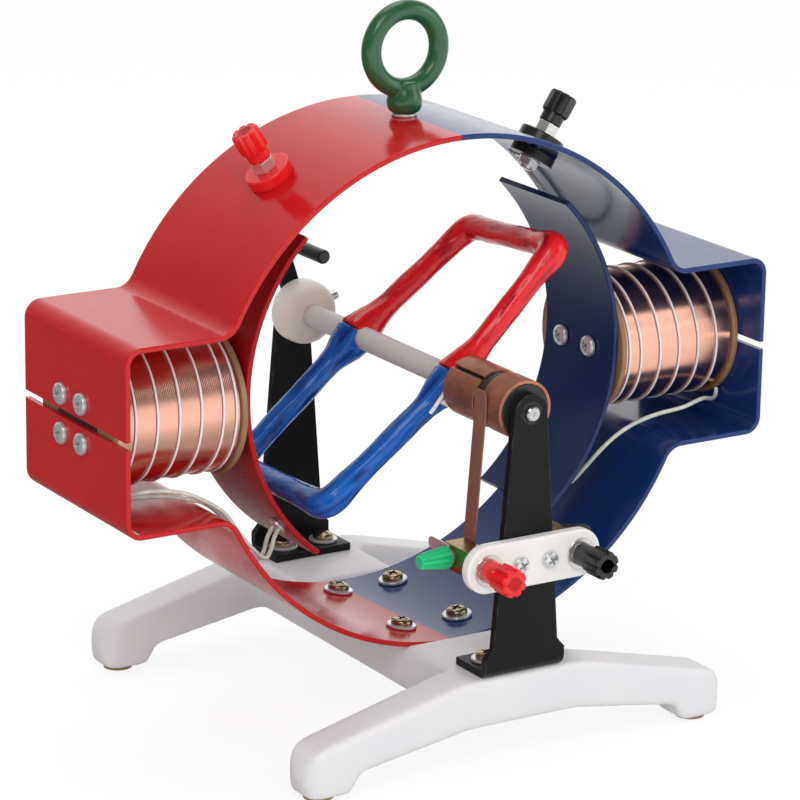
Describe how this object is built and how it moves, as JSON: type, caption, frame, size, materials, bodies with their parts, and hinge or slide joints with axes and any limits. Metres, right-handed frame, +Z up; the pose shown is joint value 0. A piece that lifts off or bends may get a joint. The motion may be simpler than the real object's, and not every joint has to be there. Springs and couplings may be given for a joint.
{
  "type": "hand crank generator model",
  "caption": "Bench demonstration dynamo: a red and blue iron ring with field coils, a loop armature with split ring and slip ring, open brushes and a white cast stand.",
  "frame": {"origin": "on the floor under the middle of the whole model", "axes": "+X from the red pole to the blue pole, +Y along the shaft from the brush gear to the crank, +Z up"},
  "size_m": [0.3052, 0.2106, 0.2905],
  "materials": {
    "white_casting": "semi-gloss white paint on a cast base",
    "pad_rubber": "matt",
    "ring_paint": "gloss paint, red on the -X half and blue on the +X half",
    "steel": "passivated",
    "zinc": "zinc plated",
    "nickel": "nickel plated",
    "green_paint": "gloss",
    "red_paint": "gloss",
    "blue_paint": "gloss",
    "iron": "turned",
    "fibre": "pressed fibre",
    "copper_wire": "enamelled copper wire",
    "white_thread": "thread",
    "black_paint": "satin black",
    "brass": "satin",
    "cream_board": "moulded",
    "red_plastic": "moulded",
    "black_plastic": "moulded",
    "green_plastic": "moulded",
    "brush_copper": "rolled copper strip",
    "ring_copper": "turned copper",
    "lead_sleeving": "insulating sleeving",
    "grey_sleeve": "insulating tube",
    "red_tape": "wound tape",
    "blue_tape": "wound tape",
    "nylon": "turned nylon"
  },
  "bodies": {
    "stand": {"base_casting": "white_casting", "foot_pads": "pad_rubber", "upper_yoke": "ring_paint", "lower_yoke": "ring_paint", "seat_screws": "steel", "seat_washers": "zinc", "eye_bolt": "green_paint", "eye_washer": "zinc", "eye_nut": "zinc", "pole_shoe_red": "red_paint", "pole_shoe_blue": "blue_paint", "shoe_screws": "zinc", "core_red": "iron", "core_blue": "iron", "bobbin_red": "fibre", "bobbin_blue": "fibre", "coil_inner_turns": "copper_wire", "winding_red": "copper_wire", "winding_blue": "copper_wire", "binding_threads": "white_thread", "box_screws": "zinc", "near_bracket": "black_paint", "far_bracket": "black_paint", "bracket_screws": "steel", "bracket_washers": "zinc", "shaft_bushes": "brass", "terminal_board": "cream_board", "board_screws": "zinc", "front_studs": "nickel", "front_nuts": "brass", "top_studs": "nickel", "insulators_red": "red_plastic", "insulators_black": "black_plastic", "top_nuts": "zinc", "brush_blocks": "brass", "clamp_studs": "zinc", "brush_lugs": "zinc", "upper_field_leads": "lead_sleeving", "lower_field_leads": "lead_sleeving", "shoe_tags": "zinc"},
    "rotor": {"shaft": "steel", "shaft_sleeve": "grey_sleeve", "armature_red": "red_tape", "armature_blue": "blue_tape", "commutator_drum": "black_plastic", "split_ring": "ring_copper", "slip_ring": "ring_copper", "armature_leads": "lead_sleeving", "crank_hub": "nylon", "hub_set_screw": "steel", "crank_arm": "black_paint"},
    "crank_grip": {"crank_grip": "black_plastic"},
    "cap_top_red": {"cap_top_red": "red_plastic"},
    "cap_top_black": {"cap_top_black": "black_plastic"},
    "cap_front_red": {"cap_front_red": "red_plastic"},
    "cap_front_black": {"cap_front_black": "black_plastic"},
    "brush_left": {"brush_left": "brush_copper"},
    "brush_right": {"brush_right": "brush_copper"},
    "knob_green": {"knob_green": "green_plastic"},
    "knob_black": {"knob_black": "black_plastic"}
  },
  "joints": [
    {"name": "rotor_spin", "type": "hinge", "parent": "stand", "child": "rotor", "pos_m": [0, 0.01077, 0.144], "axis": [0, 1, 0], "continuous": true},
    {"name": "grip_spin", "type": "hinge", "parent": "rotor", "child": "crank_grip", "pos_m": [-0.01051, 0.07677, 0.17634], "axis": [0, 1, 0], "continuous": true},
    {"name": "top_red_turn", "type": "hinge", "parent": "stand", "child": "cap_top_red", "pos_m": [-0.06917, 0.01077, 0.23551], "axis": [-0.5446, 0, 0.8387], "continuous": true},
    {"name": "front_red_turn", "type": "hinge", "parent": "stand", "child": "cap_front_red", "pos_m": [-0.0215, -0.09928, 0.085], "axis": [0, -1, 0], "continuous": true},
    {"name": "top_black_turn", "type": "hinge", "parent": "stand", "child": "cap_top_black", "pos_m": [0.06917, 0.01077, 0.23551], "axis": [0.5446, 0, 0.8387], "continuous": true},
    {"name": "front_black_turn", "type": "hinge", "parent": "stand", "child": "cap_front_black", "pos_m": [0.0215, -0.09928, 0.085], "axis": [0, -1, 0], "continuous": true},
    {"name": "brush_left_swing", "type": "hinge", "parent": "stand", "child": "brush_left", "pos_m": [-0.0162, -0.06502, 0.085], "axis": [-1, 0, 0], "range_deg": [0, 21]},
    {"name": "brush_right_swing", "type": "hinge", "parent": "stand", "child": "brush_right", "pos_m": [0.0162, -0.06502, 0.085], "axis": [1, 0, 0], "range_deg": [0, 21]},
    {"name": "knob_green_turn", "type": "hinge", "parent": "stand", "child": "knob_green", "pos_m": [-0.0335, -0.06502, 0.085], "axis": [-1, 0, 0], "continuous": true},
    {"name": "knob_black_turn", "type": "hinge", "parent": "stand", "child": "knob_black", "pos_m": [0.0335, -0.06502, 0.085], "axis": [1, 0, 0], "continuous": true}
  ]
}
